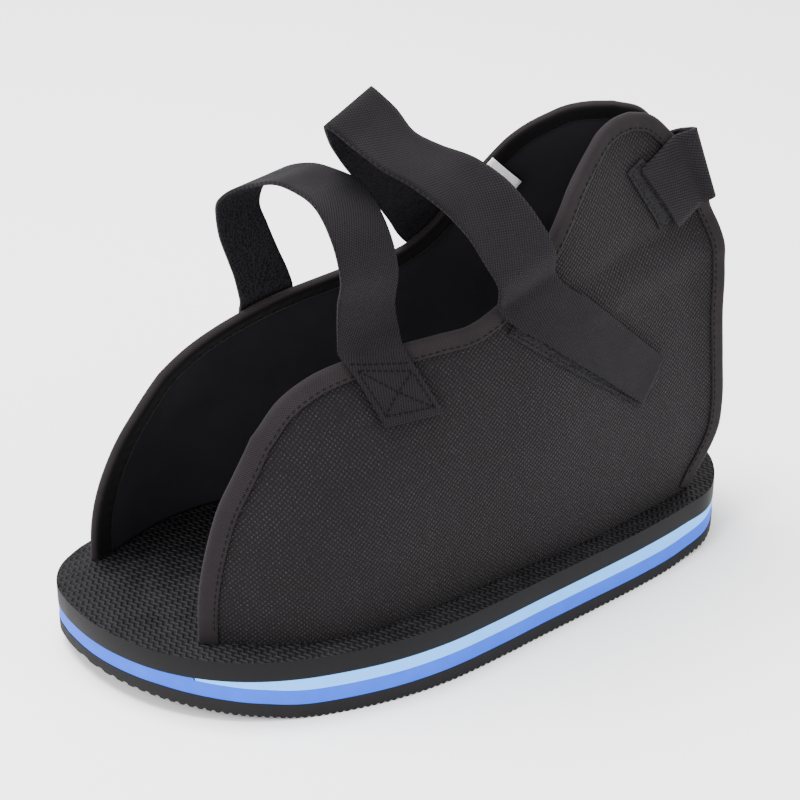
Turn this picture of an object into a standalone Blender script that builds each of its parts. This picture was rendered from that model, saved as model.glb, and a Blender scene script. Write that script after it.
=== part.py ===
"""Post operative shoe, open at the toe and heel: a flat rocker sole, one wrap-round upper with two side
wings bound at their edges, and three webbing straps. Metres, toe to +X, wearer's left to +Y, +Z up."""

import math

import bpy
import numpy as np

LENGTH = 0.300
BALL_WIDTH = 0.139
CUFF_HEIGHT = 0.2097
FOOTBED_TOP = 0.0295
FOOTBED_THICK = 0.0095
DARK_LAYER = 0.0066
WEDGE_START = 0.119
WEDGE_END = -0.1485
EDGE_ROUND = 0.0014
RIB_PITCH = 0.006
RIB_DEPTH = 0.0013
GAP = 0.0003
TRIM_GAP = 0.0007
RIM_GAP = 0.0009
PAD_LIFT = 0.0012
WALL = 0.0026
WEB_THICK = 0.0024
WEB_REAR_INSET = 0.0064
WEB_FRONT_INSET = 0.011
END_MARGIN = 0.005
TAPE_WIDTH = 0.0058
TAPE_THICK = 0.0006
STRAP_THICK = 0.0016
STRAP_LIFT = 0.0027
PAD_THICK = 0.0008
LABEL_THICK = 0.0005
LEAN_POWER = 2.2
LEAN_REACH = 0.115
TOE_LEAD = 0.0185
TOE_SHIFT = -0.0046
SHIFT_FROM = -0.015
SHIFT_OVER = 0.135

# Sole outline, heel to toe. Columns: along / LENGTH, side / BALL_WIDTH.
LEFT_EDGE = (
    (-0.500, 0.000),
    (-0.481, 0.132),
    (-0.443, 0.226),
    (-0.387, 0.273),
    (-0.299, 0.328),
    (-0.206, 0.373),
    (-0.116, 0.414),
    (-0.029, 0.455),
    (0.054, 0.486),
    (0.129, 0.493),
    (0.207, 0.476),
    (0.279, 0.441),
    (0.345, 0.380),
    (0.392, 0.310),
    (0.429, 0.231),
    (0.462, 0.126),
    (0.485, 0.014),
    (0.498, -0.110),
    (0.500, -0.151),
)
RIGHT_EDGE = (
    (-0.500, 0.000),
    (-0.481, -0.132),
    (-0.443, -0.226),
    (-0.387, -0.273),
    (-0.300, -0.324),
    (-0.200, -0.374),
    (-0.100, -0.417),
    (0.000, -0.460),
    (0.100, -0.496),
    (0.200, -0.507),
    (0.287, -0.482),
    (0.373, -0.432),
    (0.445, -0.371),
    (0.479, -0.312),
    (0.499, -0.222),
    (0.500, -0.151),
)
# Underside of the tread. Columns: along / LENGTH, up / CUFF_HEIGHT.
ROCKER = (
    (-0.500, 0.029),
    (-0.467, 0.019),
    (-0.437, 0.012),
    (-0.407, 0.006),
    (-0.377, 0.002),
    (-0.347, 0.000),
    (0.227, 0.000),
    (0.260, 0.001),
    (0.287, 0.004),
    (0.313, 0.009),
    (0.340, 0.013),
    (0.367, 0.018),
    (0.400, 0.024),
    (0.437, 0.030),
    (0.467, 0.033),
    (0.500, 0.036),
)
# Thickness of the tread. Columns: along / LENGTH, thick / CUFF_HEIGHT.
TREAD_STACK = (
    (-0.500, 0.027),
    (-0.367, 0.027),
    (-0.223, 0.030),
    (0.000, 0.031),
    (0.300, 0.032),
    (0.400, 0.032),
    (0.447, 0.031),
    (0.500, 0.026),
)
# Where a wing's outer face meets the footbed. Columns: along / LENGTH, side / BALL_WIDTH.
PANEL_FOOT = (
    (-0.483, 0.165),
    (-0.417, 0.186),
    (-0.376, 0.211),
    (-0.315, 0.243),
    (-0.224, 0.292),
    (-0.146, 0.322),
    (-0.083, 0.342),
    (-0.022, 0.363),
    (0.041, 0.386),
    (0.101, 0.404),
    (0.157, 0.409),
    (0.208, 0.402),
    (0.256, 0.376),
    (0.299, 0.332),
    (0.339, 0.279),
    (0.377, 0.238),
    (0.407, 0.209),
)
# How far a wing leans in at LEAN_REACH above the footbed. Columns: along / LENGTH, lean / BALL_WIDTH.
PANEL_LEAN = (
    (-0.483, 0.061),
    (-0.323, 0.070),
    (-0.267, 0.063),
    (-0.213, 0.054),
    (-0.160, 0.050),
    (-0.113, 0.059),
    (-0.067, 0.081),
    (-0.027, 0.102),
    (0.017, 0.132),
    (0.067, 0.169),
    (0.110, 0.199),
    (0.150, 0.227),
    (0.190, 0.256),
    (0.237, 0.281),
    (0.283, 0.291),
    (0.313, 0.302),
    (0.337, 0.288),
    (0.383, 0.273),
)
# A wing's free edge, in three runs. Columns: along / LENGTH, up / CUFF_HEIGHT.
FRONT_RIM = (
    (0.371, 0.141),
    (0.370, 0.205),
    (0.362, 0.287),
    (0.349, 0.355),
    (0.332, 0.418),
    (0.307, 0.480),
    (0.278, 0.547),
)
TOP_RIM = (
    (0.278, 0.547),
    (0.235, 0.607),
    (0.190, 0.642),
    (0.149, 0.660),
    (0.069, 0.676),
    (0.016, 0.684),
    (-0.029, 0.690),
    (-0.078, 0.723),
    (-0.120, 0.775),
    (-0.158, 0.837),
    (-0.180, 0.879),
    (-0.199, 0.914),
    (-0.221, 0.943),
    (-0.242, 0.964),
    (-0.264, 0.983),
    (-0.291, 0.992),
    (-0.323, 0.991),
)
REAR_RIM = (
    (-0.323, 0.991),
    (-0.359, 0.972),
    (-0.389, 0.930),
    (-0.419, 0.869),
    (-0.448, 0.780),
    (-0.468, 0.695),
    (-0.472, 0.630),
    (-0.468, 0.530),
    (-0.469, 0.428),
    (-0.471, 0.325),
    (-0.467, 0.270),
    (-0.447, 0.210),
    (-0.428, 0.172),
    (-0.414, 0.141),
)
# The straps' two edges. Columns: along, side, up of the rear edge, then of the front edge, as shares of
# LENGTH, BALL_WIDTH and CUFF_HEIGHT. A side of None lies on a wing, at STRAP_LIFT.
FRONT_STRAP = (
    (0.028, None, 0.547, 0.110, None, 0.543),
    (0.054, None, 0.630, 0.140, None, 0.647),
    (0.068, None, 0.680, 0.151, None, 0.680),
    (0.069, 0.209, 0.721, 0.153, 0.194, 0.730),
    (0.071, 0.198, 0.759, 0.154, 0.203, 0.783),
    (0.073, 0.226, 0.849, 0.156, 0.234, 0.854),
    (0.077, 0.201, 0.907, 0.160, 0.209, 0.916),
    (0.081, 0.122, 0.954, 0.166, 0.129, 0.970),
    (0.088, 0.014, 0.976, 0.177, 0.036, 0.983),
    (0.110, -0.036, 0.988, 0.190, -0.022, 0.985),
    (0.123, -0.115, 0.978, 0.205, -0.108, 0.961),
    (0.143, -0.194, 0.952, 0.223, -0.187, 0.930),
    (0.160, -0.245, 0.918, 0.233, -0.230, 0.897),
    (0.163, -0.281, 0.864, 0.233, -0.239, 0.864),
    (0.153, -0.279, 0.816, 0.229, -0.243, 0.821),
    (0.140, -0.273, 0.761, 0.217, -0.247, 0.763),
    (0.127, -0.272, 0.713, 0.207, -0.252, 0.716),
    (0.118, None, 0.666, 0.201, None, 0.661),
    (0.110, None, 0.601, 0.193, None, 0.597),
    (0.102, None, 0.539, 0.185, None, 0.535),
)
ANKLE_STRAP = (
    (-0.227, None, 0.663, -0.173, None, 0.563),
    (-0.180, None, 0.732, -0.117, None, 0.635),
    (-0.133, None, 0.792, -0.056, None, 0.706),
    (-0.100, -0.223, 0.873, -0.018, -0.216, 0.784),
    (-0.060, -0.173, 0.942, 0.022, -0.158, 0.863),
    (-0.027, -0.129, 0.997, 0.058, -0.101, 0.928),
    (0.013, -0.079, 1.062, 0.096, -0.036, 1.002),
    (0.040, -0.043, 1.114, 0.123, 0.022, 1.063),
    (0.055, -0.002, 1.143, 0.137, 0.069, 1.109),
    (0.031, 0.027, 1.105, 0.112, 0.117, 1.075),
    (0.007, 0.060, 1.053, 0.079, 0.185, 1.033),
    (-0.020, 0.084, 1.029, 0.054, 0.204, 1.008),
    (-0.061, 0.157, 1.006, 0.015, 0.246, 0.956),
    (-0.086, 0.204, 0.977, -0.000, 0.252, 0.931),
    (-0.108, 0.247, 0.935, -0.022, 0.273, 0.886),
    (-0.126, 0.277, 0.890, -0.040, 0.291, 0.835),
    (-0.143, 0.291, 0.837, -0.058, 0.302, 0.783),
    (-0.152, None, 0.768, -0.069, None, 0.718),
    (-0.207, None, 0.687, -0.140, None, 0.623),
    (-0.277, None, 0.587, -0.223, None, 0.518),
    (-0.347, None, 0.492, -0.306, None, 0.411),
)
HEEL_STRAP = (
    (-0.322, None, 0.884, -0.389, None, 0.745),
    (-0.357, None, 0.904, -0.413, None, 0.763),
    (-0.388, None, 0.926, -0.433, None, 0.779),
    (-0.418, 0.079, 0.941, -0.449, 0.115, 0.794),
    (-0.432, 0.036, 0.929, -0.460, 0.050, 0.786),
    (-0.438, 0.000, 0.918, -0.467, 0.000, 0.774),
    (-0.443, -0.036, 0.906, -0.468, -0.043, 0.763),
    (-0.438, -0.072, 0.893, -0.472, -0.122, 0.751),
    (-0.395, None, 0.878, -0.433, None, 0.737),
    (-0.360, None, 0.856, -0.417, None, 0.716),
    (-0.310, None, 0.825, -0.377, None, 0.687),
)

# Fastener pads and label: along, up of each corner.
PAD_ANKLE = (
    (-0.080, 0.666),
    (-0.312, 0.398),
    (-0.349, 0.464),
    (-0.118, 0.732),
)
PAD_HEEL = (
    (-0.302, 0.892),
    (-0.358, 0.756),
    (-0.383, 0.768),
    (-0.333, 0.907),
)
LABEL = (
    (-0.174, 0.886),
    (-0.220, 0.823),
    (-0.210, 0.802),
    (-0.163, 0.866),
)


def clear_scene():
    for old in list(bpy.data.objects):
        bpy.data.objects.remove(old, do_unlink=True)


def material(name, colour, roughness):
    made = bpy.data.materials.new(name)
    made.use_nodes = True
    shader = made.node_tree.nodes["Principled BSDF"]
    shader.inputs["Base Color"].default_value = (*colour, 1.0)
    shader.inputs["Roughness"].default_value = roughness
    made.diffuse_color = (*colour, 1.0)
    return made


def spline(points, count, ends=None):
    """Points of a smooth curve through a table, evenly spaced along it."""
    points = np.asarray(points, float)
    chord = np.linalg.norm(np.diff(points, axis=0), axis=1)
    knots = np.concatenate([[0.0], np.cumsum(chord)])
    slopes = np.gradient(points, knots, axis=0)
    if ends is not None:
        slopes[0], slopes[-1] = ends
    dense = np.linspace(0.0, knots[-1], 24 * len(points))
    k = np.clip(np.searchsorted(knots, dense, side="right") - 1, 0, len(points) - 2)
    h = (knots[k + 1] - knots[k])[:, None]
    t = (dense - knots[k])[:, None] / h
    curve = (
        (2 * t**3 - 3 * t**2 + 1) * points[k]
        + (t**3 - 2 * t**2 + t) * h * slopes[k]
        + (3 * t**2 - 2 * t**3) * points[k + 1]
        + (t**3 - t**2) * h * slopes[k + 1]
    )
    if count is None:
        return curve
    walked = np.concatenate([[0.0], np.cumsum(np.linalg.norm(np.diff(curve, axis=0), axis=1))])
    even = np.linspace(0.0, walked[-1], count)
    return np.stack([np.interp(even, walked, curve[:, c]) for c in range(curve.shape[1])], axis=1)


def scaled(table, *sizes):
    return np.array([[np.nan if v is None else v * s for v, s in zip(row, sizes)] for row in table])


def profile(table, sizes, x):
    """A smooth function of x read from a two-column table."""
    dense = spline(scaled(table, *sizes), None)
    order = np.argsort(dense[:, 0])
    return np.interp(x, dense[order, 0], dense[order, 1])


PLAN = (LENGTH, BALL_WIDTH)
SIDE = (LENGTH, CUFF_HEIGHT)


def sole_edge(hand, inset):
    """The sole's outline on one side, moved in by an inset."""
    rows = LEFT_EDGE if hand > 0 else RIGHT_EDGE
    dense = spline(scaled(rows, *PLAN), 400, ends=np.array([[0.0, hand * 1.0], [0.0, -hand * 1.0]]))
    run = np.gradient(dense, axis=0)
    run /= np.linalg.norm(run, axis=1)[:, None]
    normal = np.stack([run[:, 1], -run[:, 0]], axis=1) * hand
    return dense + inset * normal


def sole_side(hand, inset, x):
    edge = sole_edge(hand, inset)
    order = np.argsort(edge[:, 0])
    return np.interp(x, edge[order, 0], edge[order, 1])


def stations(count, inset=0.0):
    """Stations along the sole, close together at its round ends."""
    half = LENGTH / 2 - inset - 0.00015
    return -half * np.cos(np.linspace(0.0, math.pi, count))


def rocker(x):
    return np.maximum(profile(ROCKER, SIDE, x), 0.0)


def tread_top(x):
    """Top of the outsole, never so high that the dark layer above it gets thinner than its own sheet."""
    highest = FOOTBED_TOP - FOOTBED_THICK - DARK_LAYER - 2 * GAP
    return np.minimum(rocker(x) + profile(TREAD_STACK, SIDE, x), highest)


def dark_top(x):
    """Top of the dark layer: under the footbed at the toe, under the wedge behind it."""
    under = FOOTBED_TOP - FOOTBED_THICK - GAP
    return np.where(x > WEDGE_START, under, np.minimum(tread_top(x) + GAP + DARK_LAYER, under))


def shell(name, face, back, slot, mask=None):
    """One closed solid between two matching grids of points, with walls wherever a cell has no neighbour."""
    face = np.asarray(face, float)
    back = np.asarray(back, float)
    rows, columns = face.shape[0], face.shape[1]
    if mask is None:
        mask = np.ones((rows - 1, columns - 1), bool)
    index = {}
    vertices = []

    def vertex(layer, i, j):
        key = (layer, i, j)
        if key not in index:
            index[key] = len(vertices)
            vertices.append(tuple((face if layer == 0 else back)[i, j]))
        return index[key]

    faces = []

    def wall(a, b):
        faces.append((vertex(0, *b), vertex(0, *a), vertex(1, *a), vertex(1, *b)))

    for i in range(rows - 1):
        for j in range(columns - 1):
            if not mask[i, j]:
                continue
            ring = ((i, j), (i + 1, j), (i + 1, j + 1), (i, j + 1))
            faces.append(tuple(vertex(0, *p) for p in ring))
            faces.append(tuple(vertex(1, *p) for p in reversed(ring)))
            beside = ((i, j - 1), (i + 1, j), (i, j + 1), (i - 1, j))
            for n in range(4):
                bi, bj = beside[n]
                if 0 <= bi < rows - 1 and 0 <= bj < columns - 1 and mask[bi, bj]:
                    continue
                wall(ring[n], ring[(n + 1) % 4])
    mesh = bpy.data.meshes.new(name)
    mesh.from_pydata(vertices, [], faces)
    mesh.materials.append(slot)
    mesh.update()
    corners = [[mesh.vertices[v].co for v in p.vertices] for p in mesh.polygons]
    volume = sum(c[0].dot(c[i].cross(c[i + 1])) for c in corners for i in range(1, len(c) - 1))
    if volume < 0:
        mesh.flip_normals()
    made = bpy.data.objects.new(name, mesh)
    bpy.context.scene.collection.objects.link(made)
    return made


def build_outsole(slot):
    """Tread with straight ribs across it, on a rocker bottom."""
    ends = stations(90)
    half_ribs = int((LENGTH / 2 - END_MARGIN) / RIB_PITCH)
    walls = (0.0017, 0.0022, 0.0038, 0.0043)
    cuts = np.array([k * RIB_PITCH + d for k in range(-half_ribs, half_ribs) for d in walls])
    low = np.array([False, True, True, False] * (2 * half_ribs))
    outside = ends[(ends < cuts[0] - 0.0004) | (ends > cuts[-1] + 0.0004)]
    x = np.concatenate([cuts, outside])
    groove = np.concatenate([low, np.zeros(len(outside), bool)])
    order = np.argsort(x)
    x, groove = x[order], groove[order]
    sides = np.stack([sole_side(1, 0.0, x), sole_side(-1, 0.0, x)], axis=1)
    xs = np.repeat(x[:, None], 2, axis=1)
    bottom = rocker(xs) + np.where(groove, RIB_DEPTH, 0.0)[:, None]
    top = np.stack([xs, sides, tread_top(xs)], axis=2)
    under = np.stack([xs, sides, bottom], axis=2)
    return shell("outsole", top, under, slot)


def build_midsole(slot):
    x = stations(40)
    x = np.sort(np.concatenate([x, [WEDGE_START + 0.0001, WEDGE_START - 0.0001]]))
    sides = np.stack([sole_side(1, 0.0, x), sole_side(-1, 0.0, x)], axis=1)
    xs = np.repeat(x[:, None], 2, axis=1)
    top = np.stack([xs, sides, dark_top(xs)], axis=2)
    under = np.stack([xs, sides, tread_top(xs) + GAP], axis=2)
    return shell("midsole_lower", top, under, slot)


def build_wedge(slot):
    x = stations(44)
    inner = x[(x < WEDGE_START - 0.004) & (x > WEDGE_END + 0.001)]
    x = np.sort(np.concatenate([inner, [WEDGE_START - 0.0005, WEDGE_END]]))
    sides = np.stack([sole_side(1, 0.0, x), sole_side(-1, 0.0, x)], axis=1)
    xs = np.repeat(x[:, None], 2, axis=1)
    top = np.stack([xs, sides, np.full(xs.shape, FOOTBED_TOP - FOOTBED_THICK - GAP)], axis=2)
    under = np.stack([xs, sides, dark_top(xs) + GAP], axis=2)
    return shell("midsole_wedge", top, under, slot)


def foot_line(x):
    return profile(PANEL_FOOT, PLAN, x)


def wing_side(x, z):
    """Outer face of the left wing: its distance from the middle plane at a place along and up."""
    rise = np.maximum(z - FOOTBED_TOP, 0.0) / LEAN_REACH
    return foot_line(x) - profile(PANEL_LEAN, PLAN, x) * rise**LEAN_POWER


def wing_point(x, z, lift):
    """A point on the left wing, a lift outside its outer face (negative goes inside)."""
    step = 0.0005
    y = wing_side(x, z)
    slope_x = (wing_side(x + step, z) - wing_side(x - step, z)) / (2 * step)
    slope_z = np.where(
        z > FOOTBED_TOP + step, (wing_side(x, z + step) - wing_side(x, z - step)) / (2 * step), 0.0
    )
    normal = np.stack([-slope_x, np.ones_like(x), -slope_z], axis=-1)
    normal /= np.linalg.norm(normal, axis=-1)[..., None]
    return np.stack([x, y, z], axis=-1) + lift * normal


def mirrored(points):
    """The right wing: the left one mirrored, and set forward towards the toe as the sole's outline is."""
    x, y, z = np.moveaxis(np.asarray(points, float), -1, 0)
    share = np.clip((x - SHIFT_FROM) / SHIFT_OVER, 0.0, 1.0)
    return np.stack([x + TOE_LEAD * share, -y + 2 * TOE_SHIFT * share, z], axis=-1)


def unshifted(x):
    """The along position on the left wing that mirrors to x on the right one."""
    share = np.clip((x - SHIFT_FROM) / (SHIFT_OVER + TOE_LEAD), 0.0, 1.0)
    return x - TOE_LEAD * share


def rim_runs(counts):
    """The wing's free edge as three runs that meet: front upwards, top backwards, rear downwards."""
    return [spline(scaled(t, *SIDE), n) for t, n in zip((FRONT_RIM, TOP_RIM, REAR_RIM), counts)]


def wing_grid(columns, rows):
    """Along and up of a grid over the wing, foot to top, rear to front."""
    front, top, rear = rim_runs((rows, columns, rows))
    top = top[::-1]
    rear = rear[::-1]
    foot = np.stack([np.linspace(rear[0, 0], front[0, 0], columns), np.full(columns, FOOTBED_TOP)], axis=1)
    u = np.linspace(0.0, 1.0, columns)[:, None, None]
    v = np.linspace(0.0, 1.0, rows)[None, :, None]
    sides = (1 - v) * foot[:, None] + v * top[:, None] + (1 - u) * rear[None] + u * front[None]
    corners = (1 - u) * (1 - v) * foot[0] + u * (1 - v) * foot[-1] + (1 - u) * v * top[0] + u * v * top[-1]
    return sides - corners


def build_upper(slot, columns=33, rows=11):
    """Both wings and the web that joins them between the footbed and the midsole: one sheet."""
    grid = wing_grid(columns, rows)[:, ::-1]
    x, z = grid[..., 0], grid[..., 1]
    outer = wing_point(x, z, 0.0)
    inner = wing_point(x, z, -WALL)
    web_low = FOOTBED_TOP - FOOTBED_THICK
    drop_outer = outer[:, -1:].copy()
    drop_inner = inner[:, -1:].copy()
    drop_outer[..., 2] = web_low
    drop_inner[..., 2] = web_low + WEB_THICK
    outer = np.concatenate([outer, drop_outer], axis=1)
    inner = np.concatenate([inner, drop_inner], axis=1)
    face = np.concatenate([outer, mirrored(outer)[:, ::-1]], axis=1)
    back = np.concatenate([inner, mirrored(inner)[:, ::-1]], axis=1)
    mask = np.ones((columns - 1, face.shape[1] - 1), bool)
    reach = face[:, rows, 0]
    web_rear = REAR_RIM[-1][0] * LENGTH + WEB_REAR_INSET
    web_front = FRONT_RIM[0][0] * LENGTH - WEB_FRONT_INSET
    mask[:, rows] = (reach[:-1] > web_rear) & (reach[1:] < web_front)
    return shell("upper", face, back, slot, mask)


def build_footbed(slot):
    """Footbed with a slot for each wing and a recess below for the web between them."""
    clear = GAP + 0.0001
    front = FRONT_RIM[0][0] * LENGTH
    rear = REAR_RIM[-1][0] * LENGTH
    front_right = float(mirrored((front, 0.0, 0.0))[0])
    web_front = float(mirrored((front - WEB_FRONT_INSET, 0.0, 0.0))[0])
    marks = {
        "rear": rear - 0.0012,
        "web_rear": rear + 0.0005,
        "front": front + 0.0012,
        "web_front": web_front + END_MARGIN,
        "front_right": front_right + 0.0012,
    }
    x = stations(40)
    x = x[np.min(np.abs(x[:, None] - np.array(list(marks.values()))), axis=1) > 0.0012]
    web_ends = [marks["web_rear"] + 0.0005, marks["web_front"] - 0.0005]
    x = np.sort(np.concatenate([x, list(marks.values()), web_ends]))

    inner_x = np.clip(x, -LENGTH / 2 + EDGE_ROUND + 0.0002, LENGTH / 2 - EDGE_ROUND - 0.0002)
    left, right = sole_side(1, 0.0, x), sole_side(-1, 0.0, x)
    left_round = sole_side(1, EDGE_ROUND, inner_x)
    right_round = sole_side(-1, EDGE_ROUND, inner_x)
    middle = 0.5 * (left_round + right_round)

    def slot_lines(hand, rim, last):
        """The slot's outer and inner edges; beyond its ends, lines that keep the grid in order."""
        held = np.clip(x, marks["rear"], last)
        along = held if hand > 0 else unshifted(held)
        slope = (foot_line(along + 0.0005) - foot_line(along - 0.0005)) / 0.001
        skew = np.sqrt(1 + slope**2)
        share = np.clip((along - SHIFT_FROM) / SHIFT_OVER, 0.0, 1.0)
        shift = 0.0 if hand > 0 else 2 * TOE_SHIFT * share
        out = hand * (foot_line(along) + clear * skew) + shift
        inside = hand * (foot_line(along) - (WALL + clear) * skew) + shift
        beyond = (x < marks["rear"] - 0.0005) | (x > last + 0.0005)
        out = np.where(beyond, middle + 0.80 * (rim - middle), out)
        inside = np.where(beyond, middle + 0.66 * (rim - middle), inside)
        return out, inside

    left_out, left_in = slot_lines(1, left_round, marks["front"])
    right_out, right_in = slot_lines(-1, right_round, marks["front_right"])
    ys = np.stack([left, left_round, left_out, left_in, right_in, right_out, right_round, right], axis=1)
    xs = np.repeat(x[:, None], 8, axis=1)
    xs[1:-1, 1:-1] = inner_x[1:-1, None]
    share = np.linspace(0.0, 1.0, 8)
    for end in (0, -1):
        ys[end] = left[end] + (right[end] - left[end]) * share
    tops = np.full(ys.shape, FOOTBED_TOP)
    tops[:, [0, -1]] -= EDGE_ROUND
    tops[[0, -1]] = FOOTBED_TOP - EDGE_ROUND
    low = FOOTBED_TOP - FOOTBED_THICK
    bottoms = np.full(ys.shape, low)
    in_web = (x > marks["web_rear"] + 0.0002) & (x < marks["web_front"] - 0.0002)
    bottoms[np.ix_(in_web, [3, 4])] = low + WEB_THICK + 2 * GAP
    mask = np.ones((len(x) - 1, 7), bool)
    centre = 0.5 * (x[1:] + x[:-1])
    mask[:, 2] = (centre < marks["rear"]) | (centre > marks["front"])
    mask[:, 4] = (centre < marks["rear"]) | (centre > marks["front_right"])
    return shell("footbed", np.stack([xs, ys, tops], axis=2), np.stack([xs, ys, bottoms], axis=2), slot, mask)


def rim_line(count):
    """The whole free edge from the front foot over the top to the rear foot, with its inward direction."""
    front, top, rear = rim_runs((200, 300, 240))
    path = np.concatenate([front, top[1:], rear[1:]])
    path = path[path[:, 1] > FOOTBED_TOP + 0.0008]
    soft = path.copy()
    for _ in range(14):
        soft[1:-1] = 0.25 * soft[:-2] + 0.5 * soft[1:-1] + 0.25 * soft[2:]
    run = np.gradient(soft, axis=0)
    run /= np.linalg.norm(run, axis=1)[:, None]
    inward = np.stack([-run[:, 1], run[:, 0]], axis=1)
    walked = np.concatenate([[0.0], np.cumsum(np.linalg.norm(np.diff(path, axis=0), axis=1))])
    even = np.linspace(0.0, walked[-1], count)
    columns = np.concatenate([path, inward], axis=1)
    return np.stack([np.interp(even, walked, columns[:, c]) for c in range(4)], axis=1)


def build_binding(name, hand, slot, count=56):
    """Folded tape over a wing's free edge."""
    rim = rim_line(count)
    path, inward = rim[:, :2], rim[:, 2:]

    def line(depth, lift):
        place = path + depth * inward
        place[:, 1] = np.maximum(place[:, 1], FOOTBED_TOP + 0.0008)
        points = wing_point(place[:, 0], place[:, 1], lift)
        return points if hand > 0 else mirrored(points)

    def fold(lift, edge):
        arm = [TAPE_WIDTH, TAPE_WIDTH / 2, -edge]
        outer = [line(depth, lift) for depth in arm]
        inner = [line(depth, -WALL - lift) for depth in reversed(arm)]
        return np.stack(outer + inner, axis=1)

    face = fold(TRIM_GAP + TAPE_THICK, RIM_GAP + TAPE_THICK)
    back = fold(TRIM_GAP, RIM_GAP)
    return shell(name, face, back, slot)


def grid_normals(grid):
    along = np.gradient(grid, axis=0)
    across = np.gradient(grid, axis=1)
    normal = np.cross(along, across)
    return normal / np.linalg.norm(normal, axis=2)[..., None]


def on_wing(x, z, lift, hand):
    if hand > 0:
        return wing_point(x, z, lift)
    return mirrored(wing_point(unshifted(x), z, lift))


def build_strap(name, table, slot, hands, count=42, across=3, lift=STRAP_LIFT):
    """A flat webbing strap between its two edges, lying on the wings where its table says so."""
    sizes = (LENGTH, BALL_WIDTH, CUFF_HEIGHT)
    rows = scaled(table, *sizes, *sizes)
    lying = np.isnan(rows[:, 1])
    middle = len(rows) // 2
    mid_lift = lift + STRAP_THICK / 2
    for i in np.where(lying)[0]:
        hand = hands[0] if i < middle else hands[1]
        for c in (0, 3):
            rows[i, c : c + 3] = on_wing(rows[i, c], rows[i, c + 2], mid_lift, hand)
    first = int(np.argmin(lying))
    last = len(lying) - 1 - int(np.argmin(lying[::-1]))
    smooth = spline(rows, None)
    walked = np.concatenate([[0.0], np.cumsum(np.linalg.norm(np.diff(smooth, axis=0), axis=1))])
    even = np.linspace(0.0, walked[-1], count)
    edges = np.stack([np.interp(even, walked, smooth[:, c]) for c in range(6)], axis=1)
    share = np.linspace(0.0, 1.0, across + 1)[None, :, None]
    grid = edges[:, None, :3] * (1 - share) + edges[:, None, 3:] * share
    full = np.linalg.norm(np.diff(rows, axis=0), axis=1)
    marks = np.concatenate([[0.0], np.cumsum(full)]) / full.sum() * walked[-1]
    for n, where in enumerate(even):
        if where <= marks[max(first - 1, 0)]:
            hand = hands[0]
        elif where >= marks[min(last + 1, len(marks) - 1)]:
            hand = hands[1]
        else:
            continue
        grid[n] = on_wing(grid[n, :, 0], grid[n, :, 2], mid_lift, hand)
    offset = grid_normals(grid) * STRAP_THICK / 2
    return shell(name, grid + offset, grid - offset, slot)


def build_pad(name, table, slot, lift=PAD_LIFT, thick=PAD_THICK, counts=(15, 5)):
    """A thin rectangle of fastener pile on the left wing, from its four corners."""
    a, b, c, d = scaled(table, *SIDE)
    u = np.linspace(0.0, 1.0, counts[0])[:, None, None]
    v = np.linspace(0.0, 1.0, counts[1])[None, :, None]
    flat = (1 - u) * ((1 - v) * a + v * b) + u * ((1 - v) * d + v * c)
    face = wing_point(flat[..., 0], flat[..., 1], lift + thick)
    back = wing_point(flat[..., 0], flat[..., 1], lift)
    return shell(name, face, back, slot)


def build_label(slot):
    """Blank label sewn flat to the inside of the right wing."""
    u = np.linspace(0.0, 1.0, 3)[:, None, None]
    v = np.linspace(0.0, 1.0, 3)[None, :, None]
    a, b, c, d = scaled(LABEL, *SIDE)
    flat = (1 - u) * ((1 - v) * a + v * b) + u * ((1 - v) * d + v * c)
    along, up = flat[..., 0], flat[..., 1]
    lift = -WALL - TRIM_GAP - TAPE_THICK - GAP
    near = mirrored(wing_point(along, up, lift))
    far = mirrored(wing_point(along, up, lift - LABEL_THICK))
    return shell("label", far, near, slot)


clear_scene()
rubber = material("outsole_rubber", (0.023, 0.022, 0.024), 0.75)
foam_dark = material("midsole_dark", (0.103, 0.228, 0.740), 0.65)
foam_light = material("midsole_light", (0.366, 0.597, 0.923), 0.65)
foam_top = material("footbed_foam", (0.016, 0.016, 0.018), 0.8)
canvas = material("upper_canvas", (0.028, 0.024, 0.026), 0.85)
tape = material("binding_tape", (0.048, 0.040, 0.050), 0.7)
webbing = material("strap_webbing", (0.036, 0.036, 0.042), 0.75)
pile = material("pad_pile", (0.012, 0.012, 0.013), 0.95)
white = material("label_white", (0.80, 0.80, 0.80), 0.6)

build_outsole(rubber)
build_midsole(foam_dark)
build_wedge(foam_light)
build_footbed(foam_top)
build_upper(canvas)
build_binding("binding_left", 1, tape)
build_binding("binding_right", -1, tape)
build_strap("strap_front", FRONT_STRAP, webbing, (1, -1))
build_strap("strap_ankle", ANKLE_STRAP, webbing, (-1, 1))
build_strap("strap_heel", HEEL_STRAP, webbing, (1, -1), count=34)
build_pad("pad_ankle", PAD_ANKLE, pile)
build_pad("pad_heel", PAD_HEEL, pile, counts=(6, 4))
build_label(white)
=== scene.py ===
import math

import bmesh
import bpy
import numpy as np
from mathutils import Matrix, Vector


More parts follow.
